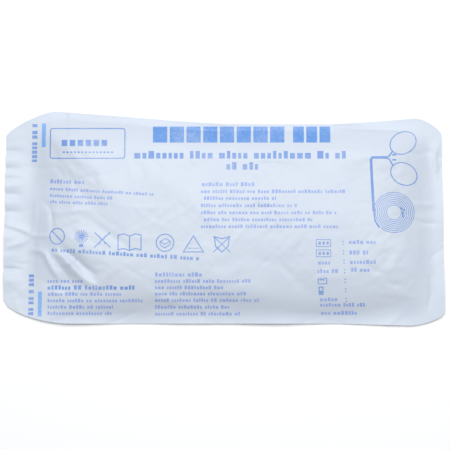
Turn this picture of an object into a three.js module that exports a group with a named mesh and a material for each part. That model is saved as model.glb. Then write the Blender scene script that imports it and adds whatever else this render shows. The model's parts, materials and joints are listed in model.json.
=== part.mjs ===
// A heat-sealed peel pouch with a coiled tubing set packed inside, lying on its back web.
//
// The pouch is two webs of white film, sealed to each other all round: the front web, which bulges
// over the packed set, and the back web, which lies flat under it. At the peel end both webs run on
// past the seal as a loose, rippled tab. The corners are trimmed, and the packed set sits nearer the
// far side, so that side of the pouch is drawn in and steep while the near side slopes gently.
//
// Units are millimetres. +X runs from the peel end to the closed end, +Y from the near side to the
// far side, and +Z up. The origin is on the surface that the pouch lies on, under its middle.

import * as THREE from 'three';

// Plan of the pouch
const pouchLength = 305;
const pouchWidth = 150;
const peelTabLength = 10;
const peelSealLength = 11.5;
const closedSealLength = 10;
const sideSealWidth = 7;

// How far the filling draws each long edge in from the flat width
const farEdgeDrawIn = 9;
const farClosedDrawIn = 5;
const nearEdgeDrawIn = 1.4;

// Where along the pouch the far edge reaches its full draw-in, and the near edge leaves its own,
// as shares of the way from the middle to the closed end
const farDrawnFrom = 0;
const farDrawnTo = 0.5;
const nearDrawnTo = 0.5;

// Trimmed corners: each one's run along X, its run along Y, and how far it bows outwards, from 1
// for a straight cut to 2 for an ellipse
const peelFarTrim = { along: 33.5, across: 17, bow: 1.28 };
const peelNearTrim = { along: 45, across: 17, bow: 1.7 };
const closedFarTrim = { along: 17, across: 11, bow: 1.35 };
const closedNearTrim = { along: 23, across: 9, bow: 1.5 };
const trimSteps = 5;

// The webs and the seal
const filmThickness = 0.15;
const sealCoat = 0.05;
const seamHeight = 3;
const tabRippleHeight = 1.5;
const tabRipplePitch = 24;

// The packed set, wound into a flat oval coil, and the air over it
const coilHeight = 11;
const coilBundleWidth = 20;
const coilEdgeRadius = 3;
const coilEndSlack = 24;
const coilNearSlack = 21;
const coilFarSlack = 10;
const coilRestGap = 0.3;
const headroom = 5;

// How far each side of the front web runs inwards before it reaches its full height
const peelShoulder = 46;
const closedShoulder = 50;
const nearShoulder = 50;
const farShoulder = 24;
const shoulderFullness = 2.6;

// Fineness of the webs' grid
const columnPitch = 8;
const bellyRows = 12;

// Lines that the webs and the coil share
const peelEdgeX = -pouchLength / 2;
const closedEdgeX = pouchLength / 2;
const tabEndX = peelEdgeX + peelTabLength;
const peelSeamX = tabEndX + peelSealLength;
const closedSeamX = closedEdgeX - closedSealLength;
const bellyHeight = filmThickness + coilRestGap + coilHeight + headroom - seamHeight;
const backShoulder = Math.min(coilEndSlack, coilNearSlack, coilFarSlack);

/** A trimmed corner as points from the end of the pouch to its side, bowed outwards. */
function trimmedCorner(endX, sideY, trim, inwardX, inwardY) {
  const points = [];
  for (let step = 0; step <= trimSteps; step += 1) {
    const angle = (step / trimSteps) * Math.PI / 2;
    const fromEnd = 1 - Math.cos(angle) ** (2 / trim.bow);
    const fromSide = 1 - Math.sin(angle) ** (2 / trim.bow);
    points.push([
      endX + inwardX * trim.along * fromEnd,
      sideY + inwardY * trim.across * fromSide,
    ]);
  }
  return points;
}

// Each long edge of the plan, as points in order of X
const farEdge = [
  ...trimmedCorner(peelEdgeX, pouchWidth / 2, peelFarTrim, 1, -1),
  [farDrawnFrom * closedEdgeX, pouchWidth / 2 - farEdgeDrawIn],
  [farDrawnTo * closedEdgeX, pouchWidth / 2 - farEdgeDrawIn],
  ...trimmedCorner(closedEdgeX, pouchWidth / 2 - farClosedDrawIn, closedFarTrim, -1, -1).reverse(),
];
const nearEdge = [
  ...trimmedCorner(peelEdgeX, nearEdgeDrawIn - pouchWidth / 2, peelNearTrim, 1, 1),
  [nearDrawnTo * closedEdgeX, nearEdgeDrawIn - pouchWidth / 2],
  ...trimmedCorner(closedEdgeX, -pouchWidth / 2, closedNearTrim, -1, 1).reverse(),
];

/** Y of a long edge at x, straight between its points. */
function edgeAt(edge, x) {
  const last = edge.length - 1;
  if (x <= edge[0][0]) return edge[0][1];
  if (x >= edge[last][0]) return edge[last][1];
  const next = edge.findIndex(([pointX]) => pointX >= x);
  const [x0, y0] = edge[next - 1];
  const [x1, y1] = edge[next];
  return THREE.MathUtils.mapLinear(x, x0, x1, y0, y1);
}

/** Share of its full height that a web has reached at a distance in from its seam. */
function rise(distance, shoulder) {
  const left = 1 - THREE.MathUtils.clamp(distance / shoulder, 0, 1);
  return 1 - left ** shoulderFullness;
}

/** Height of the sealed rim: level, with the loose tab rippling up and down. */
function rimHeight(x, y) {
  const outOnTab = THREE.MathUtils.clamp((tabEndX - x) / peelTabLength, 0, 1);
  return seamHeight + tabRippleHeight * outOnTab * Math.sin((2 * Math.PI * y) / tabRipplePitch);
}

/** Distances of a point in from the four seams, negative out on the rim. */
function seamDistances(x, y) {
  return {
    peel: x - peelSeamX,
    closed: closedSeamX - x,
    near: y - (edgeAt(nearEdge, x) + sideSealWidth),
    far: edgeAt(farEdge, x) - sideSealWidth - y,
  };
}

/** Underside of the back web: flat on the surface, and rising to the seam at its border. */
function backUnderside(x, y) {
  const inside = Math.min(...Object.values(seamDistances(x, y)));
  const settled = THREE.MathUtils.smoothstep(inside, 0, backShoulder);
  return rimHeight(x, y) * (1 - settled);
}

/** Underside of the front web: on the back web's seal coat, and domed over the packed set. */
function frontUnderside(x, y) {
  const inside = seamDistances(x, y);
  const dome = rise(inside.peel, peelShoulder) * rise(inside.closed, closedShoulder)
    * rise(inside.near, nearShoulder) * rise(inside.far, farShoulder);
  return rimHeight(x, y) + filmThickness + sealCoat + bellyHeight * dome;
}

/** Upright thickness of film at a point, so that it measures its thickness square to its face. */
function uprightThickness(underside, x, y) {
  const reach = 0.5;
  const slopeX = (underside(x + reach, y) - underside(x - reach, y)) / (2 * reach);
  const slopeY = (underside(x, y + reach) - underside(x, y - reach)) / (2 * reach);
  return filmThickness * Math.hypot(1, slopeX, slopeY);
}

/** X of every column of the grid: each mark, with even steps of at most the pitch between them. */
function gridColumns() {
  const closest = 1;
  const marks = [peelEdgeX, tabEndX, peelSeamX, closedSeamX, closedEdgeX];
  for (const [x] of [...farEdge, ...nearEdge]) {
    if (marks.every((mark) => Math.abs(mark - x) > closest)) marks.push(x);
  }
  marks.sort((a, b) => a - b);
  const columns = [marks[0]];
  for (let index = 1; index < marks.length; index += 1) {
    const steps = Math.ceil((marks[index] - marks[index - 1]) / columnPitch);
    for (let step = 1; step <= steps; step += 1) {
      columns.push(THREE.MathUtils.lerp(marks[index - 1], marks[index], step / steps));
    }
  }
  return columns;
}

/** Y of every row at x: the two edges, the two seams, and rows between that crowd at the seams. */
function gridRows(x) {
  const nearY = edgeAt(nearEdge, x);
  const farY = edgeAt(farEdge, x);
  const rows = [nearY];
  for (let row = 0; row <= bellyRows; row += 1) {
    const share = (1 - Math.cos((Math.PI * row) / bellyRows)) / 2;
    rows.push(THREE.MathUtils.lerp(nearY + sideSealWidth, farY - sideSealWidth, share));
  }
  rows.push(farY);
  return rows;
}

/** One web as a closed sheet: its underside, its upper side and the cut edge all round. */
function webGeometry(underside) {
  const columns = gridColumns();
  const rowCount = bellyRows + 3;
  const lower = [];
  const upper = [];
  for (const x of columns) {
    for (const y of gridRows(x)) {
      const z = underside(x, y);
      lower.push(x, y, z);
      upper.push(x, y, z + uprightThickness(underside, x, y));
    }
  }
  const at = (column, row) => column * rowCount + row;
  const above = columns.length * rowCount;
  const faces = [];
  const quad = (a, b, c, d) => faces.push(a, b, c, a, c, d);
  const wall = (from, to) => quad(from, to, to + above, from + above);
  const lastColumn = columns.length - 1;
  const lastRow = rowCount - 1;
  for (let column = 0; column < lastColumn; column += 1) {
    for (let row = 0; row < lastRow; row += 1) {
      const a = at(column, row);
      const b = at(column + 1, row);
      const c = at(column + 1, row + 1);
      const d = at(column, row + 1);
      quad(a + above, b + above, c + above, d + above);
      quad(a, d, c, b);
    }
    wall(at(column, 0), at(column + 1, 0));
    wall(at(column + 1, lastRow), at(column, lastRow));
  }
  for (let row = 0; row < lastRow; row += 1) {
    wall(at(0, row + 1), at(0, row));
    wall(at(lastColumn, row), at(lastColumn, row + 1));
  }
  const geometry = new THREE.BufferGeometry();
  geometry.setAttribute('position', new THREE.Float32BufferAttribute([...lower, ...upper], 3));
  geometry.setIndex(faces);
  geometry.computeVertexNormals();
  return geometry;
}

/** An oval with straight sides and round ends, centred on the origin. */
function ovalOutline(Outline, length, width) {
  const radius = width / 2;
  const straight = length / 2 - radius;
  const outline = new Outline();
  outline.moveTo(-straight, -radius);
  outline.lineTo(straight, -radius);
  outline.absarc(straight, 0, radius, -Math.PI / 2, Math.PI / 2, false);
  outline.lineTo(-straight, radius);
  outline.absarc(-straight, 0, radius, Math.PI / 2, (3 * Math.PI) / 2, false);
  return outline;
}

/** The coiled set's outer shape: a flat oval ring with rounded edges, lying on its side. */
function coilGeometry(length, width) {
  const inset = 2 * coilEdgeRadius;
  const bundle = 2 * coilBundleWidth;
  const outline = ovalOutline(THREE.Shape, length - inset, width - inset);
  outline.holes.push(ovalOutline(THREE.Path, length - bundle + inset, width - bundle + inset));
  return new THREE.ExtrudeGeometry(outline, {
    depth: coilHeight - inset,
    curveSegments: 10,
    bevelSize: coilEdgeRadius,
    bevelThickness: coilEdgeRadius,
    bevelSegments: 2,
  });
}

const film = new THREE.MeshStandardMaterial({ color: 0xe6ebf5, roughness: 0.42, metalness: 0 });
const vinyl = new THREE.MeshStandardMaterial({ color: 0xdfe6e2, roughness: 0.3, metalness: 0 });

const backWeb = new THREE.Mesh(webGeometry(backUnderside), film.clone());
backWeb.name = 'back_web';

const frontWeb = new THREE.Mesh(webGeometry(frontUnderside), film.clone());
frontWeb.name = 'front_web';

const coilNearY = nearEdgeDrawIn - pouchWidth / 2 + sideSealWidth + coilNearSlack;
const coilFarY = pouchWidth / 2 - farEdgeDrawIn - sideSealWidth - coilFarSlack;
const coilLength = closedSeamX - peelSeamX - 2 * coilEndSlack;
const coiledSet = new THREE.Mesh(coilGeometry(coilLength, coilFarY - coilNearY), vinyl);
coiledSet.name = 'coiled_set_core';
coiledSet.position.set(
  (peelSeamX + closedSeamX) / 2,
  (coilNearY + coilFarY) / 2,
  filmThickness + coilRestGap + coilEdgeRadius,
);

const pouch = new THREE.Group();
pouch.add(backWeb, coiledSet, frontWeb);

export default pouch;
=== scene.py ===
"""A heat-sealed peel pouch of white film, printed in blue, with a coiled tubing set packed inside.

The file is laid out as a Blender add-on and run as a script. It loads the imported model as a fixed
frame and replaces its two plain webs by webs of the same size that a cloth simulation has settled
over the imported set. It then creases and prints them, and adds the finishes, the floor, the light
and the camera.

Everything is in metres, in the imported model's frame: +X runs from the peel end to the closed end,
+Y from the near side to the far side, and +Z up from the surface that the pouch lies on.
"""

import json
import math

import bpy
import numpy as np
from bpy.props import FloatProperty, FloatVectorProperty, PointerProperty, StringProperty
from mathutils import Matrix, Vector
from mathutils.bvhtree import BVHTree

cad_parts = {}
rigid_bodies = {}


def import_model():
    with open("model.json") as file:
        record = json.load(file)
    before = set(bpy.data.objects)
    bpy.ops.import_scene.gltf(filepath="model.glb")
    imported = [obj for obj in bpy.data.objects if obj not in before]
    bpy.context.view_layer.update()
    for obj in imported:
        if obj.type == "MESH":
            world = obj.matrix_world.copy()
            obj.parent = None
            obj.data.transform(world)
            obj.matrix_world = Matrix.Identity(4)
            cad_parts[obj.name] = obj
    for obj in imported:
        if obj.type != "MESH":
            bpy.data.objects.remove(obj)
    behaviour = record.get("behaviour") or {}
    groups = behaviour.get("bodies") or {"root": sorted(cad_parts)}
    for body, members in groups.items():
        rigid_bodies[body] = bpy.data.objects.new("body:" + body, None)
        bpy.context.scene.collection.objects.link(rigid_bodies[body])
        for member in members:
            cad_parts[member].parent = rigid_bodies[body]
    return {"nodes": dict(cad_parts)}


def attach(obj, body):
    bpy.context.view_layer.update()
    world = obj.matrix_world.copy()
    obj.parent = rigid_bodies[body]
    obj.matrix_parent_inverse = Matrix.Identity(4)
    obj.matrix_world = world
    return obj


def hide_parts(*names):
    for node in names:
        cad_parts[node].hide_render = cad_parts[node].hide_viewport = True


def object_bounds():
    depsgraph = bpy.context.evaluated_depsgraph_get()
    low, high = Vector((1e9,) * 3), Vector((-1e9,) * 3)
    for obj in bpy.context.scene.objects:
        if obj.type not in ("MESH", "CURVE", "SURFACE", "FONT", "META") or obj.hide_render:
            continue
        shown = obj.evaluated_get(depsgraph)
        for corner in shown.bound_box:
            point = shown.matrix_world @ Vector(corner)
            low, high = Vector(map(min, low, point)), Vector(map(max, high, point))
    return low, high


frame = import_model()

bl_info = {
    "name": "Sealed Peel Pouch",
    "version": (1, 0, 0),
    "blender": (4, 5, 0),
    "location": "View3D > Sidebar > Pouch",
    "description": "Dresses a sealed film pouch around its packed frame",
    "category": "Add Mesh",
}

MM = 0.001
CAD_LOW, CAD_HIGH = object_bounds()


# Settings

def length_setting(name, description, default):
    """A setting that is a length, never below nothing."""
    return FloatProperty(name=name, description=description, default=default, min=0.0, precision=5,
                         unit="LENGTH")


def colour_setting(name, description, default):
    """A setting that is a colour."""
    return StringProperty(name=name, description=description + ", as an sRGB hex value", default=default)


class PouchSettings(bpy.types.PropertyGroup):
    length: length_setting("Length", "Length over the tab and both end seals", CAD_HIGH.x - CAD_LOW.x)
    width: length_setting("Width", "Width over both side seals", CAD_HIGH.y - CAD_LOW.y)
    tab: length_setting("Tab", "Loose film past the peel seal", 10 * MM)
    peel_seal: length_setting("Peel seal", "Width of the seal at the peel end", 11.5 * MM)
    closed_seal: length_setting("Closed seal", "Width of the seal at the closed end", 10 * MM)
    side_seal: length_setting("Side seal", "Width of the seals along both sides", 7 * MM)
    film: length_setting("Film", "Thickness of each web", 0.15 * MM)
    far_draw: length_setting("Far draw-in", "How far the filling draws the far side in", 9 * MM)
    closed_draw: length_setting("Closed draw-in", "How far the far side is in at the closed end", 5 * MM)
    near_draw: length_setting("Near draw-in", "How far the filling draws the near side in", 1.4 * MM)
    rim_height: length_setting("Rim height", "How high the seals float round the filling", 1.7 * MM)
    crown: length_setting("Crown", "Rise of the front web over the seals before it settles", 13.2 * MM)
    pitch: length_setting("Grid pitch", "Size of a cell of the simulated cloth", 2.6 * MM)


class PrintSettings(bpy.types.PropertyGroup):
    title: colour_setting("Title", "Ink of the title row", "#568dd4")
    strong: colour_setting("Strong lines", "Ink of the strong rows", "#6a90d0")
    fine: colour_setting("Fine lines", "Ink of the fine rows and small marks", "#8ba2db")
    bars: colour_setting("Bars", "Ink of the two solid bars at the peel end", "#76a9e6")
    build: length_setting("Ink build", "How far the ink stands off the film", 0.05 * MM)


class StageSettings(bpy.types.PropertyGroup):
    distance: length_setting("Camera distance", "From the camera to its aim", 750 * MM)
    tilt: FloatProperty(name="Tilt", description="How far the camera leans to the near side",
                        default=math.radians(5.85), subtype="ANGLE", unit="ROTATION")
    view_width: length_setting("View width", "Width of the view at the aim", 312.3 * MM)
    aim: FloatVectorProperty(name="Aim", description="The point at the middle of the view", size=3,
                             default=(0.8 * MM, -5.4 * MM, 4 * MM), subtype="TRANSLATION", unit="LENGTH")
    key_power: FloatProperty(name="Key", description="Power of the soft box overhead", default=16.1,
                             unit="POWER")
    fill: FloatProperty(name="Fill", description="Strength of the light from all round", default=0.40)
    floor: colour_setting("Floor", "Colour of the floor", "#f6f7f8")


# Tones of the two webs as sRGB hex values, each with the tone that it is mottled with
FRONT_FILM = ("#cad2de", "#c3cddc")
BACK_FILM = ("#cbd0d9", "#c5ccd6")
CRINKLE = 0.5
FILM_SMOOTH_ANGLE = math.radians(50)
INK_SMOOTH_ANGLE = math.radians(40)


# Helpers

def srgb(text):
    """An sRGB hex colour as linear RGBA."""
    parts = [int(text[k:k + 2], 16) / 255 for k in (1, 3, 5)]
    linear = [p / 12.92 if p <= 0.04045 else ((p + 0.055) / 1.055) ** 2.4 for p in parts]
    return (*linear, 1.0)


def add_node(tree, kind, settings=None, links=None, **values):
    """A node of a material, with its settings, its socket values and its links from other sockets."""
    node = tree.nodes.new(kind)
    for name, value in (settings or {}).items():
        setattr(node, name, value)
    for name, value in values.items():
        node.inputs[name.replace("_", " ")].default_value = value
    for name, source in (links or {}).items():
        tree.links.new(source, node.inputs[name])
    return node


def new_material(name):
    """An empty node material, with its tree and its output node."""
    material = bpy.data.materials.new(name)
    material.use_nodes = True
    tree = material.node_tree
    tree.nodes.clear()
    return material, tree, tree.nodes.new("ShaderNodeOutputMaterial")


def deselect():
    """Deselects everything, because an operator acts on all that is selected."""
    for item in bpy.context.view_layer.objects:
        item.select_set(False)


def add_object(name, points, faces):
    """A new mesh object at the origin, selected and active."""
    mesh = bpy.data.meshes.new(name)
    mesh.from_pydata(points, [], faces)
    mesh.update()
    piece = bpy.data.objects.new(name, mesh)
    bpy.context.scene.collection.objects.link(piece)
    deselect()
    piece.select_set(True)
    bpy.context.view_layer.objects.active = piece
    return piece


def finish_piece(piece, material):
    """Puts a finished piece on the frame, with its material."""
    piece.data.materials.clear()
    piece.data.materials.append(material)
    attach(piece, "root")
    return piece


# The pouch's plan

# Each corner's trim: its run along the pouch, its run across it, and how far it bows, from 1 for a
# straight cut to 2 for an ellipse
CORNERS = {
    "peel_far": (33.5 * MM, 17 * MM, 1.28),
    "peel_near": (45 * MM, 17 * MM, 1.7),
    "closed_far": (17 * MM, 11 * MM, 1.35),
    "closed_near": (23 * MM, 9 * MM, 1.5),
}


def corner_cut(run, corner):
    """How far a trimmed corner cuts the side in, at a distance along from the pouch's end."""
    along, across, bow = CORNERS[corner]
    left = np.clip(1 - run / along, 0, 1)
    return across * (1 - (1 - left ** bow) ** (1 / bow))


def sides(x, drawn):
    """Y of the near and the far side at x, from as cut, at 0, to as the filling draws them, at 1."""
    s = bpy.context.scene.pouch
    end = s.length / 2
    far_marks = [-end + CORNERS["peel_far"][0], 0, end / 2, end - CORNERS["closed_far"][0]]
    as_cut = np.interp(x, [far_marks[0], far_marks[3]], [0, s.closed_draw])
    as_drawn = np.interp(x, far_marks, [0, s.far_draw, s.far_draw, s.closed_draw])
    near_marks = [-end + CORNERS["peel_near"][0], end / 2, end - CORNERS["closed_near"][0]]
    near_in = np.interp(x, near_marks, [s.near_draw, s.near_draw, 0])
    far = s.width / 2 - as_cut * (1 - drawn) - as_drawn * drawn
    near = -s.width / 2 + near_in * drawn
    far = far - corner_cut(x + end, "peel_far") - corner_cut(end - x, "closed_far")
    near = near + corner_cut(x + end, "peel_near") + corner_cut(end - x, "closed_near")
    return near, far


def even_steps(start, end, pitch):
    """Places from start to end, in even steps of about the pitch."""
    return np.linspace(start, end, max(2, round((end - start) / pitch) + 1))


class PouchGrid:
    """The grid that both webs share: its columns, its rows, and the cells that are sealed."""

    def __init__(self):
        s = bpy.context.scene.pouch
        end = s.length / 2
        marks = [-end, -end + s.tab, -end + s.tab + s.peel_seal, end - s.closed_seal, end]
        spans = [even_steps(a, b, s.pitch) for a, b in zip(marks, marks[1:])]
        self.x = np.concatenate([spans[0]] + [span[1:] for span in spans[1:]])
        self.first_column = len(spans[0]) + len(spans[1]) - 2
        self.last_column = len(self.x) - len(spans[3])
        seal_rows = max(2, round(s.side_seal / s.pitch))
        belly_rows = round((s.width - 2 * s.side_seal) / s.pitch)
        self.first_row = seal_rows
        self.last_row = seal_rows + belly_rows
        self.shape = (len(self.x), belly_rows + 2 * seal_rows + 1)
        self.seal_rows = seal_rows

    def points(self, drawn):
        """The flat grid as an array of points, as cut or as drawn in."""
        s = bpy.context.scene.pouch
        near, far = sides(self.x, drawn)
        grid = np.zeros((*self.shape, 3))
        grid[:, :, 0] = self.x[:, None]
        for column, (a, b) in enumerate(zip(near, far)):
            belly = np.linspace(a + s.side_seal, b - s.side_seal, self.last_row - self.first_row + 1)
            seal = np.linspace(0, s.side_seal, self.seal_rows + 1)
            grid[column, :, 1] = np.concatenate([a + seal[:-1], belly, b - seal[-2::-1]])
        return grid

    def loose(self):
        """Which points lie inside the seals, where the two webs are apart."""
        inside = np.zeros(self.shape, bool)
        inside[self.first_column + 1:self.last_column, self.first_row + 1:self.last_row] = True
        return inside


# How far each side of the front web runs inwards before it reaches its full height
PEEL_SHOULDER = 46 * MM
CLOSED_SHOULDER = 50 * MM
NEAR_SHOULDER = 50 * MM
FAR_SHOULDER = 24 * MM
SHOULDER_FULLNESS = 2.6
BACK_STEEPNESS = 2.5
START_LIFT = 0.3 * MM


def rim_waves(x, y):
    """Height of the pouch's cut edge over its mean, which waves gently along each side."""
    swell, ripple, lag = 0.7, 0.5, 0.6
    long_wave, short_wave, cross_wave = 23 * MM, 11 * MM, 9 * MM
    return MM * (swell * np.sin(x / long_wave + lag) + ripple * np.sin(x / short_wave + y / cross_wave))


def starting_shape(grid):
    """The two webs before they settle: sealed at the rim, and domed apart between the seals."""
    s = bpy.context.scene.pouch
    front = grid.points(1.0)
    x, y = front[:, :, 0], front[:, :, 1]
    near, far = sides(grid.x, 1.0)
    end = s.length / 2

    def rise(distance, shoulder):
        return 1 - (1 - np.clip(distance / shoulder, 0, 1)) ** SHOULDER_FULLNESS

    dome = (rise(x + end - s.tab - s.peel_seal, PEEL_SHOULDER)
            * rise(end - s.closed_seal - x, CLOSED_SHOULDER)
            * rise(y - near[:, None] - s.side_seal, NEAR_SHOULDER)
            * rise(far[:, None] - s.side_seal - y, FAR_SHOULDER))
    rim = s.rim_height + rim_waves(x, y)
    back = front.copy()
    front[:, :, 2] = rim + s.crown * dome
    back[:, :, 2] = rim * (1 - np.clip(BACK_STEEPNESS * dome, 0, 1)) + START_LIFT
    sealed = ~grid.loose()
    back[sealed] = front[sealed]
    return front, back


# The cloth simulation

# Blender's cloth settings suit things of a few metres, so the pouch is settled at a larger scale
SIM_SCALE = 10
SIM_FRAMES = 36
SIM_GRAVITY = 0.24      # the share of its weight that the film keeps, so that it bridges the dips
# Thin film hardly stretches, and folds easily
FILM_CLOTH = {
    "quality": 7,
    "mass": 0.1,
    "tension_stiffness": 40,
    "compression_stiffness": 12,
    "shear_stiffness": 10,
    "bending_stiffness": 0.04,
    "tension_damping": 1.5,
    "compression_damping": 1.5,
    "shear_damping": 1.5,
    "bending_damping": 0.08,
    "use_pressure": True,
    "uniform_pressure_force": 0.35,
    "vertex_group_pressure": "airy",
    "vertex_group_mass": "rim",
}
FILM_DISTANCE = 0.004
SOLID_DISTANCE = 0.003
SOLID_FRICTION = 4
JITTER = 0.05 * MM
JITTER_SEED = 11
FLOOR_CLEARANCE = 0.25 * MM
CORE_GAP = 0.3 * MM


def settle_webs():
    """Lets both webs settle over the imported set, and gives their points as two arrays."""
    grid = PouchGrid()
    front, back = starting_shape(grid)
    loose = grid.loose()
    front_index = np.arange(loose.size).reshape(loose.shape)
    back_index = front_index.copy()
    back_index[loose] = loose.size + np.arange(loose.sum())

    def packed(front_points, back_points):
        return SIM_SCALE * np.concatenate([front_points.reshape(-1, 3), back_points[loose]])

    flat = grid.points(0.0)
    faces = []
    for i in range(loose.shape[0] - 1):
        for j in range(loose.shape[1] - 1):
            cell = [(i, j), (i + 1, j), (i + 1, j + 1), (i, j + 1)]
            faces.append([int(front_index[c]) for c in cell])
            if any(loose[c] for c in cell):
                faces.append([int(back_index[c]) for c in reversed(cell)])
    cloth = add_object("settling_webs", packed(flat, flat).tolist(), faces)
    cloth.shape_key_add(name="as cut")
    start = cloth.shape_key_add(name="start")
    draw = np.random.default_rng(JITTER_SEED)
    jitter = draw.normal(0, JITTER, (len(cloth.data.vertices), 3)) * (0, 0, SIM_SCALE)
    start.data.foreach_set("co", (packed(front, back) + jitter).ravel())
    start.value = 1.0
    cloth.active_shape_key_index = 1
    airy = cloth.vertex_groups.new(name="airy")
    airy.add([int(k) for k in np.concatenate([front_index[loose], back_index[loose]])], 1.0, "REPLACE")
    rim = cloth.vertex_groups.new(name="rim")
    edge = np.ones(loose.shape, bool)
    edge[1:-1, 1:-1] = False
    rim.add([int(k) for k in front_index[edge]], 1.0, "REPLACE")

    deselect()
    bpy.ops.mesh.primitive_plane_add(size=4 * SIM_SCALE * (CAD_HIGH.x - CAD_LOW.x))
    floor = bpy.context.object
    core = bpy.data.objects.new("settling_core", frame["nodes"]["coiled_set_core"].data.copy())
    core.data.transform(Matrix.Scale(SIM_SCALE, 4))
    bpy.context.scene.collection.objects.link(core)
    # the set's loops and prongs lie in the middle of its coil, so the film has no open middle to sink into
    bpy.context.view_layer.objects.active = core
    core.select_set(True)
    bpy.ops.object.mode_set(mode="EDIT")
    bpy.ops.mesh.select_all(action="SELECT")
    bpy.ops.mesh.convex_hull()
    bpy.ops.object.mode_set(mode="OBJECT")
    for solid in (floor, core):
        deselect()
        bpy.context.view_layer.objects.active = solid
        bpy.ops.object.modifier_add(type="COLLISION")
        solid.collision.thickness_outer = SOLID_DISTANCE
        solid.collision.cloth_friction = SOLID_FRICTION

    deselect()
    bpy.context.view_layer.objects.active = cloth
    bpy.ops.object.modifier_add(type="CLOTH")
    modifier = cloth.modifiers[-1]
    film = modifier.settings
    for name, value in FILM_CLOTH.items():
        setattr(film, name, value)
    film.rest_shape_key = cloth.data.shape_keys.key_blocks["as cut"]
    film.effector_weights.gravity = SIM_GRAVITY
    modifier.collision_settings.distance_min = FILM_DISTANCE
    modifier.point_cache.frame_start = 1
    modifier.point_cache.frame_end = SIM_FRAMES
    for step in range(1, SIM_FRAMES + 1):
        bpy.context.scene.frame_set(step)
    settled = cloth.evaluated_get(bpy.context.evaluated_depsgraph_get()).data
    points = np.empty(3 * len(settled.vertices))
    settled.vertices.foreach_get("co", points)
    points = points.reshape(-1, 3) / SIM_SCALE
    bpy.context.scene.frame_set(1)
    for item in (cloth, floor, core):
        bpy.data.objects.remove(item)
    return grid, points[front_index], points[back_index]


# The creases

# Each crease is a line on the front web in millimetres from the pouch's middle, the height of its
# crest (below nothing for a valley), and how wide it is to its left and to its right as it is drawn.
# All of them are then made taller and tighter by the same two factors.
CREASE_GAIN = 1.25
CREASE_TIGHTNESS = 0.85
CREASES = [
    # from the pinched spot in the peel seal
    ([(-132.5, -12.8), (-141, -8.5), (-152.5, -5)], 0.9, 1.2, 3.0),
    ([(-132.5, -12.8), (-142, -17.5), (-152.5, -21)], 0.9, 3.0, 1.2),
    ([(-132.5, -12.8), (-126, -13.2), (-118, -12.4)], 0.7, 1.0, 1.6),
    ([(-132.5, -12.8), (-131.5, -2), (-131, 12)], 0.5, 1.0, 1.5),
    # a bent ridge past the seal's near half
    ([(-133, -22.6), (-127, -23.2), (-122.8, -26), (-118.6, -35), (-113.2, -43)], 1.7, 1.2, 2.0),
    # the broad slanting fold, with the valley above it
    ([(-114.5, -25.5), (-109, -29), (-103, -35.5), (-96, -42.5), (-90, -46.5)], 2.6, 1.8, 4.0),
    ([(-112, -22), (-104, -27.5), (-97, -34.5), (-88, -40)], -1.8, 3.0, 2.0),
    ([(-117, -28), (-112, -35), (-106, -43)], -1.1, 2.2, 2.2),
    # a hooked crease beside the first fold
    ([(-126, 11), (-121.5, 7.5), (-119.2, 2.5), (-118.4, -5), (-118.4, -12)], -1.1, 1.6, 1.3),
    ([(-120, 3.6), (-112, 2.6), (-103, 4.2), (-93, 4.4)], 0.8, 1.2, 2.6),
    # a soft step across the far seal
    ([(-108.6, 75), (-108, 66), (-106.6, 57)], 0.7, 3.0, 0.9),
    # long soft folds where the far side is drawn in
    ([(80, 63.6), (96, 62.4), (121, 61), (136, 56)], -1.1, 2.6, 1.8),
    ([(-60, 63), (-30, 61.5), (10, 60.5), (50, 61)], -0.6, 3.0, 2.0),
    # the closed end
    ([(150.5, 52), (147.5, 42), (149.5, 30)], 0.9, 1.6, 3.0),
    ([(131, 9.5), (139, 8.7), (146, 9.2)], 0.7, 1.2, 2.4),
    ([(130, -2), (138, -4), (146, -4.6)], -0.8, 1.8, 1.4),
    ([(128, 45), (136, 44), (145, 46.5)], -0.5, 1.8, 1.4),
    ([(142.5, -42), (143.5, -52), (141.5, -62)], -0.7, 1.6, 1.6),
    ([(112, -46), (117, -47.5), (122, -46)], -0.6, 2.4, 2.0),
    # the near slope
    ([(17, -27), (40, -35), (64, -52)], -0.6, 9.0, 5.0),
    ([(98, -34), (104, -38), (112, -40)], -0.6, 2.5, 2.0),
    ([(-52, -50), (-40, -57), (-22, -61)], 0.6, 2.6, 3.4),
]

# Ripples of the loose tab: each one's place across the pouch, height and half width, in millimetres
RIPPLE_GAIN = 0.7
RIPPLE_TIGHTNESS = 0.8
RIPPLE_START = 0.3      # how far into the peel seal the ripples start, as a share of its width
TAB_RIPPLES = [
    (58, 0.5, 4.0), (46.8, -1.3, 2.2), (40.5, 0.8, 3.2), (34.4, -1.3, 2.4), (27.4, -1.0, 2.0),
    (22, 0.7, 2.6), (16.5, -1.3, 2.4), (10, 0.6, 3.0), (4.2, -1.2, 2.2), (-13.5, 1.9, 6.5),
    (-27, 0.6, 3.0), (-35.8, -2.0, 1.5), (-44, 0.8, 4.0), (-53, -0.5, 3.0),
]

# Small handling creases: how many, and in millimetres their half length, height and width to a side
FINE_CREASES = 170
FINE_SEED = 5
FINE_HALF_LENGTH = (4, 17)
FINE_RISE = (0.08, 0.34)
FINE_WIDTH = (0.7, 2.1)
FINE_TURN = 0.9
FINE_BOW = 1.2

# How sharply a crease falls off to its sides, how tall its very ends are, and how they fade
SIDE_FALL = 1.5
END_SHARE = 0.12
END_FADE = 0.8


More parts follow.
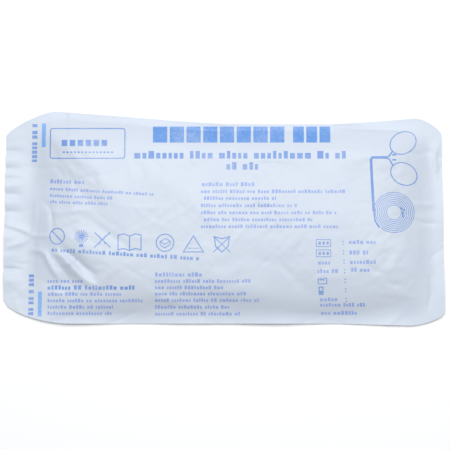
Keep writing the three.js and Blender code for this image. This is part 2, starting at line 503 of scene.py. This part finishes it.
def line_profile(x, y, points, left, right):
    """For each place, how close it is to a bent line: 1 on it, fading to each side and to its ends."""
    best = np.full(x.shape, np.inf)
    side = np.zeros(x.shape)
    along = np.zeros(x.shape)
    starts = np.array(points[:-1], float)
    ends = np.array(points[1:], float)
    lengths = np.hypot(*(ends - starts).T)
    done = 0.0
    for start, end, length in zip(starts, ends, lengths):
        direction = (end - start) / length
        dx, dy = x - start[0], y - start[1]
        reach = np.clip(dx * direction[0] + dy * direction[1], 0, length)
        distance = np.hypot(dx - reach * direction[0], dy - reach * direction[1])
        nearer = distance < best
        best = np.where(nearer, distance, best)
        side = np.where(nearer, direction[0] * dy - direction[1] * dx, side)
        along = np.where(nearer, (done + reach) / lengths.sum(), along)
        done += length
    width = np.where(side > 0, left, right)
    fade = np.sin(np.pi * np.clip(END_SHARE + (1 - 2 * END_SHARE) * along, 0, 1)) ** END_FADE
    return np.exp(-(best / width) ** SIDE_FALL) * fade


def fine_creases(x, y, x_reach, y_reach):
    """Small straight handling creases, strewn over the whole web by a seeded draw, in millimetres."""
    draw = np.random.default_rng(FINE_SEED)
    height = np.zeros(x.shape)
    for _ in range(FINE_CREASES):
        middle = draw.uniform((-x_reach, -y_reach), (x_reach, y_reach))
        angle = draw.normal(0, FINE_TURN)
        half = draw.uniform(*FINE_HALF_LENGTH) * np.array([math.cos(angle), math.sin(angle)])
        rise = draw.choice([-1, 1]) * draw.uniform(*FINE_RISE)
        bow = draw.normal(0, FINE_BOW, 2)
        left, right = draw.uniform(*FINE_WIDTH, 2)
        height += rise * line_profile(x, y, [middle - half, middle + bow, middle + half], left, right)
    return height


def crease_height(points):
    """Height that all creases add at each point of a web, in metres."""
    s = bpy.context.scene.pouch
    x, y = points[:, :, 0] / MM, points[:, :, 1] / MM
    height = np.zeros(x.shape)
    for line, rise, left, right in CREASES:
        profile = line_profile(x, y, line, CREASE_TIGHTNESS * left, CREASE_TIGHTNESS * right)
        height += CREASE_GAIN * rise * profile
    start = -s.length / 2 + s.tab + RIPPLE_START * s.peel_seal
    out = np.clip((start - points[:, :, 0]) / s.tab, 0, 1)
    for place, rise, half in TAB_RIPPLES:
        height += RIPPLE_GAIN * rise * out * np.exp(-((y - place) / (RIPPLE_TIGHTNESS * half)) ** 2)
    height += fine_creases(x, y, s.length / 2 / MM, s.width / 2 / MM)
    return height * MM


# The webs

SEAM_REACH = 9 * MM
SEAM_STRENGTH = 0.8
SEAM_PASSES = 24
PARTED = 5 * MM         # where the webs are this far apart, the back one has no creases of the front
WEB_GAP = 0.01 * MM
SEALED_SHARE = 0.9      # a refined point counts as sealed from this share of its neighbours up


def refine(grid):
    """Halves the grid's cells along both ways, with new points on smooth curves through the old ones."""
    for axis in (0, 1):
        a = np.moveaxis(grid, axis, 0)
        padded = np.concatenate([2 * a[:1] - a[1:2], a, 2 * a[-1:] - a[-2:-1]])
        between = (9 * (padded[1:-2] + padded[2:-1]) - padded[:-3] - padded[3:]) / 16
        fine = np.empty((2 * len(a) - 1, *a.shape[1:]))
        fine[0::2], fine[1::2] = a, between
        grid = np.moveaxis(fine, 0, axis)
    return grid


def soften_seams(height, grid):
    """Rounds the step that a web makes where it leaves the seals."""
    s = bpy.context.scene.pouch
    near, far = sides(grid[:, 0, 0], 1.0)
    seams = np.minimum(np.abs(grid[:, :, 1] - near[:, None] - s.side_seal),
                       np.abs(far[:, None] - s.side_seal - grid[:, :, 1]))
    seams = np.minimum(seams, np.abs(s.length / 2 - s.closed_seal - grid[:, :, 0]))
    seams = np.minimum(seams, np.abs(grid[:, :, 0] + s.length / 2 - s.tab - s.peel_seal))
    weight = SEAM_STRENGTH * np.exp(-(seams / SEAM_REACH) ** 2)[1:-1, 1:-1]
    for _ in range(SEAM_PASSES):
        around = (height[2:, 1:-1] + height[:-2, 1:-1] + height[1:-1, 2:] + height[1:-1, :-2]) / 4
        height[1:-1, 1:-1] += weight * (around - height[1:-1, 1:-1])


def clear_the_core(front):
    """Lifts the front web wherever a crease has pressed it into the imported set."""
    core = frame["nodes"]["coiled_set_core"]
    tree = BVHTree.FromObject(core, bpy.context.evaluated_depsgraph_get())
    down = Vector((0, 0, -1))
    for column in front:
        for point in column:
            hit = tree.ray_cast(Vector((point[0], point[1], CAD_HIGH.z + CORE_GAP)), down)[0]
            if hit is not None:
                point[2] = max(point[2], hit.z + CORE_GAP)


def unit_normals(grid):
    """The upward normal at each point of a grid."""
    along = np.gradient(grid, axis=0)
    across = np.gradient(grid, axis=1)
    normals = np.cross(along, across)
    return normals / np.linalg.norm(normals, axis=2, keepdims=True)


def add_web(name, grid, inner, outer):
    """A web as a closed sheet between two distances off the grid, the first of them the lower one."""
    normals = unit_normals(grid)
    columns, rows = grid.shape[:2]
    lower = (grid + inner * normals).reshape(-1, 3)
    upper = (grid + outer * normals).reshape(-1, 3)
    at = np.arange(columns * rows).reshape(columns, rows)
    above = columns * rows
    a, b, c, d = at[:-1, :-1], at[1:, :-1], at[1:, 1:], at[:-1, 1:]
    top = np.stack([a, b, c, d], -1).reshape(-1, 4) + above
    bottom = np.stack([a, d, c, b], -1).reshape(-1, 4)
    rim = np.concatenate([at[:, 0], at[-1, 1:], at[-2::-1, -1], at[0, -2:0:-1]])
    following = np.roll(rim, -1)
    wall = np.stack([rim, following, following + above, rim + above], -1)
    faces = np.concatenate([top, bottom, wall])
    web = add_object(name, np.concatenate([lower, upper]).tolist(), faces.tolist())
    bpy.ops.object.shade_smooth_by_angle(angle=FILM_SMOOTH_ANGLE)
    return web


def mark_seals(web, sealed):
    """Stores on each point whether it lies in a seal, for the web's material."""
    attribute = web.data.attributes.new("sealed", "FLOAT", "POINT")
    attribute.data.foreach_set("value", np.concatenate([sealed.ravel()] * 2).astype(np.float32))


def film_material(name, colour, tint, crinkle):
    """Blown polyethylene film: satin, a little mottled where it thins, with fine handling crinkles."""
    material, tree, output = new_material(name)
    place = add_node(tree, "ShaderNodeTexCoord").outputs["Object"]
    cloud = add_node(tree, "ShaderNodeTexNoise", links={"Vector": place}, Scale=38.0, Detail=3.0)
    mottle = add_node(tree, "ShaderNodeMix", {"data_type": "RGBA"}, {"Factor": cloud.outputs["Fac"]})
    mottle.inputs[6].default_value = srgb(colour)
    mottle.inputs[7].default_value = srgb(tint)
    # crinkles about 2.5 mm apart, and a grain of 0.5 mm that stands for the film's own haze
    ridges = add_node(tree, "ShaderNodeTexNoise", {"noise_type": "RIDGED_MULTIFRACTAL"},
                      {"Vector": place}, Scale=150.0, Detail=2.0, Roughness=0.45)
    grain = add_node(tree, "ShaderNodeTexNoise", links={"Vector": place}, Scale=1900.0, Detail=1.0)
    big = add_node(tree, "ShaderNodeBump", links={"Height": ridges.outputs["Fac"]},
                   Strength=crinkle, Distance=0.12 * MM)
    small = add_node(tree, "ShaderNodeBump",
                     links={"Height": grain.outputs["Fac"], "Normal": big.outputs["Normal"]},
                     Strength=0.25, Distance=0.02 * MM)
    # the seal's heat leaves the film a little glossier
    sealed = add_node(tree, "ShaderNodeAttribute", {"attribute_name": "sealed"})
    gloss = add_node(tree, "ShaderNodeMapRange", links={"Value": sealed.outputs["Fac"]},
                     To_Min=0.50, To_Max=0.46)
    shader = add_node(tree, "ShaderNodeBsdfPrincipled",
                      links={"Base Color": mottle.outputs[2], "Roughness": gloss.outputs["Result"],
                             "Normal": small.outputs["Normal"]},
                      IOR=1.45, Coat_Weight=0.06, Coat_Roughness=0.25)
    tree.links.new(shader.outputs["BSDF"], output.inputs["Surface"])
    return material


class POUCH_OT_webs(bpy.types.Operator):
    """Make the two webs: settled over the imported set, creased and given their thickness"""

    bl_idname = "pouch.webs"
    bl_label = "Film Webs"

    def execute(self, context):
        s = context.scene.pouch
        grid, front, back = settle_webs()
        sealed = ~grid.loose()
        back[:, :, 2] = np.maximum(back[:, :, 2], FLOOR_CLEARANCE)
        front[:, :, 2] = np.maximum(front[:, :, 2], FLOOR_CLEARANCE)
        front, back = refine(front), refine(back)
        sealed = refine(sealed.astype(float)[:, :, None])[:, :, 0] > SEALED_SHARE
        soften_seams(front[:, :, 2], front)
        soften_seams(back[:, :, 2], front)
        back[sealed] = front[sealed]
        creases = crease_height(front)
        parted = np.clip((front[:, :, 2] - back[:, :, 2]) / PARTED, 0, 1)
        front[:, :, 2] += creases
        back[:, :, 2] += creases * (1 - parted)
        clear_the_core(front)
        low = np.minimum(front[:, :, 2], back[:, :, 2])
        lift = np.maximum(0, FLOOR_CLEARANCE - low)
        front[:, :, 2] += lift
        back[:, :, 2] += lift
        back[:, :, 2] = np.minimum(back[:, :, 2], front[:, :, 2])
        front_web = add_web("front_film_web", front, WEB_GAP, WEB_GAP + s.film)
        back_web = add_web("back_film_web", back, -WEB_GAP - s.film, -WEB_GAP)
        for web in (front_web, back_web):
            mark_seals(web, sealed)
        finish_piece(front_web, film_material("blown_film_front", *FRONT_FILM, CRINKLE))
        finish_piece(back_web, film_material("blown_film_back", *BACK_FILM, CRINKLE))
        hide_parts("front_web")
        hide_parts("back_web")
        return {"FINISHED"}


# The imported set

class POUCH_OT_tubing(bpy.types.Operator):
    """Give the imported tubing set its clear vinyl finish"""

    bl_idname = "pouch.tubing"
    bl_label = "Packed Tubing"

    def execute(self, context):
        # Extruded soft vinyl: clear with a green cast, so a coil of it looks pale and glossy
        material, tree, output = new_material("extruded_soft_vinyl")
        place = add_node(tree, "ShaderNodeTexCoord").outputs["Object"]
        turns = add_node(tree, "ShaderNodeTexWave", {"bands_direction": "Z"}, {"Vector": place},
                         Scale=30.0, Distortion=0.6)
        bump = add_node(tree, "ShaderNodeBump", links={"Height": turns.outputs["Fac"]},
                        Strength=0.6, Distance=0.8 * MM)
        shader = add_node(tree, "ShaderNodeBsdfPrincipled", links={"Normal": bump.outputs["Normal"]},
                          Base_Color=srgb("#d8e2dc"), Roughness=0.25, IOR=1.53)
        tree.links.new(shader.outputs["BSDF"], output.inputs["Surface"])
        core = frame["nodes"]["coiled_set_core"]
        core.data.materials.clear()
        core.data.materials.append(material)
        return {"FINISHED"}


# The print

# The print is laid out in millimetres on the surface that the pouch lies on, from the pouch's middle
# and as the camera sees it, and is cast along the lines of sight onto the front web. The shift moves
# all of it with the camera's aim.
PRINT_CELL = 0.7
PRINT_SHIFT = (1.4, -1.6)
PRINT_SEED = 8
RING_STEP = 1.1
MITRE_LIMIT = 0.35
INK_SHARE = 0.9         # the ink's own thickness, as a share of how far it stands off the film
# Rows of blocks: left end, middle line, length, height, and fall over 100 mm of the row
HEADING_ROWS = [
    (-122.9, 27.0, 24.9, 2.1, 2.0), (-16.7, 25.0, 37.1, 2.1, 0), (-49.1, -38.3, 32.3, 2.1, 0),
]
CAUTION_ROWS = [
    (-123.1, 22.0, 73.5, 1.6, 5.6), (-123.1, 17.2, 43.5, 1.6, 4.5), (-123.0, 12.8, 42, 1.6, 4.0),
]
DIRECTION_ROWS = [
    (-17.4, 20.0, 102, 1.8, 0), (-15.3, 15.2, 50.4, 1.8, 0), (-17.4, 10.1, 67.1, 1.8, 0),
    (-17.4, 5.1, 95.4, 1.8, 0), (-15.3, 0.2, 76.8, 1.8, 0), (-17.3, -4.6, 96.2, 1.8, 0),
]
MAKER_ROWS = [
    (-49.2, -42.8, 66.4, 1.8, 0), (-49.2, -47.2, 47.2, 1.8, 0), (-49.1, -51.5, 64.2, 1.8, 0),
    (-49.1, -56, 72, 1.8, 0), (-49.1, -60.7, 52.7, 1.8, 0), (-49, -65.4, 59.5, 1.8, 0),
]
ADDRESS_ROWS = [
    (-123.7, -42.7, 24.2, 1.8, 0), (-123.3, -51.8, 52, 1.8, 0), (-123.5, -56.3, 68.9, 1.8, 0),
    (-123.4, -60.7, 45.3, 1.8, 0), (-123.4, -65.1, 44.6, 1.8, 0),
]
TABLE_ROWS = [
    (85.7, -15.6, 22.6, 2.1, 0), (86, -23, 14.1, 2.1, 0), (86.3, -29.5, 21.5, 2.1, 0),
    (87, -35, 13, 2.1, 0), (64.1, -30, 9.3, 2, 0), (63.8, -35.9, 15.3, 2, 0),
    (65.2, -55.5, 15.6, 2, 0), (65.2, -59.2, 31.1, 1.9, 0), (65.8, -64.9, 26.3, 1.9, 0),
]
STRONG_ROWS = [(-121.3, -21, 102.5, 2.1, 6.0), (-123.7, -47.4, 61, 2.2, 0)]
SUBTITLE_ROW = (-64.3, 45.5, 151, 4.0, 0)
SMALL_TITLE_ROW = (0.4, 37.6, 22.1, 3.9, 0)
TITLE_HEIGHT = 11.4
TITLE_MIDDLE = 60.6
TITLE_GROUPS = [(-51.3, 92.5, 8), (47.3, 26.2, 3)]     # each group's left end, length and blocks
# The two solid bars and the two upright rows at the peel end: their middle line, lower and upper end
SOLID_BARS = [(-129.4, 51.7, 68.5), (-130.2, -67, -49.9)]
SOLID_BAR_WIDTH = 2.7
UPRIGHT_ROWS = [(-136.2, 41.1, 68.2), (-136.8, -66, -37.3)]
UPRIGHT_WIDTH = 3.6
UPRIGHT_BLOCK = (1.7, 2.4)
UPRIGHT_SPACES = [0.9, 0.9, 0.9, 2.6]


class Sheet:
    """Flat print in the making: points and faces in millimetres."""

    def __init__(self):
        self.points = []
        self.faces = []

    def patch(self, corners):
        """A four-sided patch, cut into cells that are small enough to follow the film."""
        a, b, c, d = (np.array(p, float) for p in corners)
        columns = max(1, math.ceil(max(np.hypot(*(b - a)), np.hypot(*(c - d))) / PRINT_CELL))
        rows = max(1, math.ceil(max(np.hypot(*(d - a)), np.hypot(*(c - b))) / PRINT_CELL))
        first = len(self.points)
        for i in range(columns + 1):
            u = i / columns
            low, high = a + (b - a) * u, d + (c - d) * u
            for j in range(rows + 1):
                self.points.append(low + (high - low) * j / rows)
        for i in range(columns):
            for j in range(rows):
                k = first + i * (rows + 1) + j
                self.faces.append((k, k + rows + 1, k + rows + 2, k + 1))

    def block(self, x, y, length, height, fall=0.0):
        """An upright block from its left end and its middle line, on a row that may fall."""
        rise = -fall / 100 * length
        self.patch([(x, y - height / 2), (x + length, y + rise - height / 2),
                    (x + length, y + rise + height / 2), (x, y + height / 2)])

    def stroke(self, line, width, closed=False):
        """A line of even width through some points, mitred where it turns."""
        line = [np.array(p, float) for p in line]
        count = len(line)
        edges = []
        for k, point in enumerate(line):
            before = line[k - 1] if closed or k > 0 else point
            after = line[(k + 1) % count] if closed or k < count - 1 else point
            legs = [leg / np.hypot(*leg) for leg in (point - before, after - point) if np.hypot(*leg) > 0]
            across = [np.array([-leg[1], leg[0]]) for leg in legs]
            mitre = sum(across) / np.hypot(*sum(across))
            reach = width / 2 / max(MITRE_LIMIT, float(mitre @ across[0]))
            edges.append((point - mitre * reach, point + mitre * reach))
        for k in range(count if closed else count - 1):
            (a, d), (b, c) = edges[k], edges[(k + 1) % count]
            self.patch([a, b, c, d])

    def ring(self, x, y, radius_x, radius_y, width, tilt=0.0):
        """A closed line of even width round an ellipse that may be tilted."""
        steps = max(20, round(2 * math.pi * max(radius_x, radius_y) / RING_STEP))
        turn = [2 * math.pi * k / steps for k in range(steps)]
        self.stroke([(x + radius_x * math.cos(t) * math.cos(tilt) - radius_y * math.sin(t) * math.sin(tilt),
                      y + radius_x * math.cos(t) * math.sin(tilt) + radius_y * math.sin(t) * math.cos(tilt))
                     for t in turn], width, closed=True)

    def row(self, x, y, length, height, fall, draw):
        """A row of plain blocks in groups, which stands where a line of print would."""
        glyph, space = 0.86 * height, 0.36 * height
        done = 0.0
        while done < length - glyph:
            group = min(draw.integers(2, 9) * (glyph + space), length - done)
            inside = 0.0
            while inside < group - 0.5 * glyph:
                width = min(glyph * draw.uniform(0.6, 1.25), length - done - inside)
                tall = height * draw.choice([1.0, 1.0, 1.35])
                start = done + inside
                self.block(x + start, y - fall / 100 * start + (tall - height) / 2, width, tall)
                inside += width + space
            done += inside + 0.9 * glyph


def draw_title(sheet):
    """The title row: two groups of plain blocks of even width."""
    gap = 1.7
    for x, length, count in TITLE_GROUPS:
        width = (length + gap) / count - gap
        for k in range(count):
            sheet.block(x + k * (width + gap), TITLE_MIDDLE, width, TITLE_HEIGHT)


def draw_pictograms(sheet):
    """The row of plain outline signs."""
    thick, thin = 0.75, 0.55
    # a ring with a bar across it
    sheet.ring(-117.6, -11.3, 5.1, 5.5, thick)
    sheet.stroke([(-121.2, -7.6), (-114.1, -15.1)], thick)
    # a burst over a small foot
    for k in range(8):
        turn = math.pi * k / 8
        x, y = 4.9 * math.cos(turn), 4.9 * math.sin(turn)
        sheet.stroke([(-100.8 - x, -11.6 - y), (-100.8 + x, -11.6 + y)], thin)
    sheet.block(-102.3, -17.8, 3, 2)
    # crossed lines over a pair of bent ones
    sheet.stroke([(-91.6, -8.6), (-80.4, -19)], thick)
    sheet.stroke([(-80.8, -8.6), (-91.8, -19.2)], thick)
    sheet.stroke([(-88.6, -10.6), (-86.9, -13.8), (-88.2, -17)], thin)
    sheet.stroke([(-83.7, -10.6), (-85.4, -13.8), (-84.1, -17)], thin)
    # an open book
    for low, side in [(-75.1, 1), (-59.1, -1)]:
        page = [(0, -10.4), (4, -9.6), (8, -11.2), (8, -21.2), (4, -19.8), (0, -20.8)]
        sheet.stroke([(low + side * x, y) for x, y in page], thick, closed=True)
    # a ring round a small open box
    sheet.ring(-42.4, -15.8, 6.1, 6.0, thick)
    sheet.stroke([(-45.8, -15), (-42, -12.8), (-38.8, -14.6), (-42.6, -17)], thin, closed=True)
    sheet.stroke([(-45.8, -15), (-45.8, -17.4), (-42.6, -19.4), (-38.8, -17), (-38.8, -14.6)], thin)
    # a triangle with a bar in it
    sheet.stroke([(-29.6, -22.2), (-22.6, -10.9), (-15.6, -22.2)], thick, closed=True)
    sheet.stroke([(-26.6, -19.6), (-18.6, -19.6)], thin)
    # a shield crossed out
    sheet.stroke([(-8, -11.6), (-2.8, -13), (2.4, -11.6), (1.6, -18.2), (-2.8, -22.2), (-7.2, -18.2)],
                 thick, closed=True)
    sheet.stroke([(-8.8, -11.2), (3.2, -22.4)], thin)
    sheet.stroke([(3.2, -11.2), (-8.8, -22.4)], thin)


def draw_tubing_figure(sheet):
    """A plain line figure of a coil of tubing with two loops at its end."""
    for x, y, lean in [(124.6, 54.6, 0.5), (124.8, 32.6, -0.5)]:
        sheet.ring(x, y, 9.6, 7.6, 0.7, lean)
    # the fork that the loops meet at, with two short prongs
    sheet.stroke([(117.3, 49), (114.8, 45.4), (112.6, 44.3)], 1.0)
    sheet.stroke([(117.3, 38.4), (114.8, 43), (112.6, 44.3)], 1.0)
    sheet.stroke([(113, 44.3), (109.6, 44.3)], 1.9)
    for y in (46.2, 42.6):
        sheet.block(116.8, y, 2.8, 1.1)
    # the tube, round a corner and down beside the coil
    sheet.stroke([(110.8, 44.3), (103, 44.3), (101.9, 43.6)], 1.8)
    sheet.stroke([(101.9, 43.4), (102.3, 30), (102.8, 18), (103.4, 6)], 1.8)
    sheet.stroke([(103.4, 6), (104.2, -0.6), (107, -5.4)], 0.9)
    for turn in range(8):
        radius = 5.2 + 1.28 * turn
        sheet.ring(117.4, 5.5, radius, radius, 0.42)
    sheet.block(121.6, 8.8, 3.2, 1.2, 60)
    sheet.block(123, 4, 1.2, 4)


def draw_frames(sheet):
    """The outline boxes, the colons and the two small outline signs."""
    left, right, low, high, corner = -123.4, -71, 43.7, 64.9, 1.6
    box = []
    for x, y, start in [(right - corner, low + corner, -90), (right - corner, high - corner, 0),
                        (left + corner, high - corner, 90), (left + corner, low + corner, 180)]:
        for step in range(4):
            turn = math.radians(start + 30 * step)
            box.append((x + corner * math.cos(turn), y + corner * math.sin(turn)))
    sheet.stroke(box, 0.75, closed=True)
    for k in range(6):
        sheet.block(-115.4 + 5.6 * k, 54.6, 3.9, 4.4)
    for k in range(14):
        sheet.block(-114.6 + 2.6 * k, 48, 1.5, 1.1)
    for y in (-16, -23.2):
        sheet.stroke([(63, y - 2.4), (73, y - 2.4), (73, y + 2.4), (63, y + 2.4)], 0.5, closed=True)
        for x in (64.5, 67.3, 70.1):
            sheet.block(x, y, 1.6, 2.1)
    for row in range(7):
        for dot in (-1.0, 1.0):
            sheet.block(81.2 + 0.3 * row, -15.9 - 6.6 * row + dot, 0.8, 0.8)
    sheet.stroke([(64.1, -44.4), (64.1, -40.6), (66, -42), (66, -40.6), (67.9, -42), (67.9, -40.6),
                  (70, -40.6), (70, -44.4)], 0.6, closed=True)
    sheet.stroke([(64.7, -46.7), (67.4, -46.7), (67.4, -51.8), (64.7, -51.8)], 0.7, closed=True)
    sheet.block(65, -50.2, 2.2, 2)


def cast_onto_film(sheet, web_tree, eye, build):
    """The flat print's points, moved along the lines of sight to just over the film."""
    cast = []
    for x, y in sheet.points:
        shifted = (x + PRINT_SHIFT[0], y + PRINT_SHIFT[1])
        target = Vector((shifted[0] * MM, shifted[1] * MM, 0))
        hit, normal, _, _ = web_tree.ray_cast(eye, target - eye)
        if hit is None:
            raise RuntimeError(f"the print at {x:.1f}, {y:.1f} mm misses the film")
        cast.append(hit + normal * build)
    return cast


def ink_material(name, colour, film):
    """Flexographic ink on film: matt, thin, and a little uneven where the plate has pressed lightly."""
    material, tree, output = new_material(name)
    place = add_node(tree, "ShaderNodeTexCoord").outputs["Object"]
    speckle = add_node(tree, "ShaderNodeTexNoise", links={"Vector": place}, Scale=700.0, Detail=2.0)
    patch = add_node(tree, "ShaderNodeTexNoise", links={"Vector": place}, Scale=45.0)
    worn = add_node(tree, "ShaderNodeMath", {"operation": "MULTIPLY"},
                    {0: speckle.outputs["Fac"], 1: patch.outputs["Fac"]})
    amount = add_node(tree, "ShaderNodeMapRange", links={"Value": worn.outputs["Value"]},
                      From_Min=0.16, From_Max=0.42, To_Min=0.0, To_Max=0.32)
    mix = add_node(tree, "ShaderNodeMix", {"data_type": "RGBA"}, {"Factor": amount.outputs["Result"]})
    mix.inputs[6].default_value = srgb(colour)
    mix.inputs[7].default_value = srgb(film)
    shader = add_node(tree, "ShaderNodeBsdfPrincipled", links={"Base Color": mix.outputs[2]},
                      Roughness=0.5, IOR=1.5)
    tree.links.new(shader.outputs["BSDF"], output.inputs["Surface"])
    return material


class POUCH_OT_print(bpy.types.Operator):
    """Print the front web: rows of plain blocks, outline signs and a line figure"""

    bl_idname = "pouch.print"
    bl_label = "Print"

    def execute(self, context):
        inks = context.scene.pouch_print
        web = bpy.data.objects["front_film_web"]
        web_tree = BVHTree.FromObject(web, context.evaluated_depsgraph_get())
        eye = context.scene.camera.location
        draw = np.random.default_rng(PRINT_SEED)
        title, strong, fine, bars = Sheet(), Sheet(), Sheet(), Sheet()
        draw_title(title)
        strong.row(*SUBTITLE_ROW, draw)
        strong.row(*SMALL_TITLE_ROW, draw)
        for row in STRONG_ROWS:
            strong.row(*row, draw)
        rows = HEADING_ROWS + CAUTION_ROWS + DIRECTION_ROWS + MAKER_ROWS + ADDRESS_ROWS + TABLE_ROWS
        for row in rows:
            fine.row(*row, draw)
        marks = Sheet()
        draw_pictograms(marks)
        draw_frames(marks)
        draw_tubing_figure(marks)
        for x, low, high in SOLID_BARS:
            bars.block(x, (low + high) / 2, SOLID_BAR_WIDTH, high - low)
        for x, low, high in UPRIGHT_ROWS:
            y = low
            while y < high - 2:
                tall = draw.uniform(*UPRIGHT_BLOCK)
                strong.block(x, y + tall / 2, UPRIGHT_WIDTH, tall)
                y += tall + draw.choice(UPRIGHT_SPACES)
        layers = {
            "title": (title, inks.title),
            "strong_rows": (strong, inks.strong),
            "fine_rows": (fine, inks.fine),
            "signs": (marks, inks.strong),
            "bars": (bars, inks.bars),
        }
        for name, (sheet, colour) in layers.items():
            points = cast_onto_film(sheet, web_tree, eye, inks.build)
            piece = add_object(f"print_{name}", points, sheet.faces)
            bpy.ops.object.modifier_add(type="SOLIDIFY")
            wall = piece.modifiers[-1]
            wall.thickness = INK_SHARE * inks.build
            wall.offset = -1
            bpy.ops.object.modifier_apply(modifier=wall.name)
            bpy.ops.object.shade_smooth_by_angle(angle=INK_SMOOTH_ANGLE)
            ink = ink_material(f"flexo_ink_{name}", colour, FRONT_FILM[0])
            finish_piece(piece, ink)
        return {"FINISHED"}


# The stage

FLOOR_SIZE = 6.0
SENSOR_WIDTH = 36       # millimetres, as Blender takes it
SOFT_BOX_PLACE = (0.03, 0.45, 1.20)
SOFT_BOX_SIZE = (1.15, 0.95)


class POUCH_OT_stage(bpy.types.Operator):
    """Set the pale floor, the soft light and the camera"""

    bl_idname = "pouch.stage"
    bl_label = "Stage"

    def execute(self, context):
        scene = context.scene
        s = scene.pouch_stage
        deselect()
        bpy.ops.mesh.primitive_plane_add(size=FLOOR_SIZE)
        floor = context.object
        floor.name = "floor"
        # Matt white board, with a faint tooth
        material, tree, output = new_material("matt_board")
        place = add_node(tree, "ShaderNodeTexCoord").outputs["Object"]
        tooth = add_node(tree, "ShaderNodeTexNoise", links={"Vector": place}, Scale=900.0)
        bump = add_node(tree, "ShaderNodeBump", links={"Height": tooth.outputs["Fac"]},
                        Strength=0.1, Distance=0.05 * MM)
        shader = add_node(tree, "ShaderNodeBsdfPrincipled", links={"Normal": bump.outputs["Normal"]},
                          Base_Color=srgb(s.floor), Roughness=0.9)
        tree.links.new(shader.outputs["BSDF"], output.inputs["Surface"])
        floor.data.materials.append(material)

        aim = Vector(s.aim)
        away = Vector((0, -math.sin(s.tilt), math.cos(s.tilt)))
        deselect()
        bpy.ops.object.camera_add(location=aim + s.distance * away)
        camera = context.object
        camera.rotation_euler = (s.tilt, 0, 0)
        camera.data.sensor_width = SENSOR_WIDTH
        camera.data.lens = SENSOR_WIDTH * s.distance / s.view_width
        scene.camera = camera

        deselect()
        bpy.ops.object.light_add(type="AREA", location=SOFT_BOX_PLACE)
        key = context.object
        key.name = "soft_box"
        key.data.shape = "RECTANGLE"
        key.data.size, key.data.size_y = SOFT_BOX_SIZE
        key.data.energy = s.key_power
        key.rotation_euler = (aim - key.location).to_track_quat("-Z", "Y").to_euler()
        world = bpy.data.worlds.new("studio")
        world.use_nodes = True
        background = world.node_tree.nodes["Background"]
        background.inputs["Color"].default_value = (1, 1, 1, 1)
        background.inputs["Strength"].default_value = s.fill
        scene.world = world
        scene.view_settings.view_transform = "Standard"
        return {"FINISHED"}


class POUCH_PT_panel(bpy.types.Panel):
    bl_label = "Sealed Peel Pouch"
    bl_idname = "POUCH_PT_panel"
    bl_space_type = "VIEW_3D"
    bl_region_type = "UI"
    bl_category = "Pouch"

    def draw(self, context):
        for group in (context.scene.pouch, context.scene.pouch_print, context.scene.pouch_stage):
            column = self.layout.column(align=True)
            for name in group.__annotations__:
                column.prop(group, name)
        for operator in (POUCH_OT_stage, POUCH_OT_webs, POUCH_OT_tubing, POUCH_OT_print):
            self.layout.operator(operator.bl_idname)


CLASSES = (PouchSettings, PrintSettings, StageSettings, POUCH_OT_stage, POUCH_OT_webs, POUCH_OT_tubing,
           POUCH_OT_print, POUCH_PT_panel)


def register():
    """Registers the classes and hangs the settings on the scene."""
    for item in CLASSES:
        bpy.utils.register_class(item)
    bpy.types.Scene.pouch = PointerProperty(type=PouchSettings)
    bpy.types.Scene.pouch_print = PointerProperty(type=PrintSettings)
    bpy.types.Scene.pouch_stage = PointerProperty(type=StageSettings)


def unregister():
    """Takes the settings and the classes away again."""
    del bpy.types.Scene.pouch_stage, bpy.types.Scene.pouch_print, bpy.types.Scene.pouch
    for item in reversed(CLASSES):
        bpy.utils.unregister_class(item)


def main():
    register()
    bpy.ops.pouch.stage()
    bpy.ops.pouch.webs()
    bpy.ops.pouch.tubing()
    bpy.ops.pouch.print()


if __name__ == "__main__":
    main()
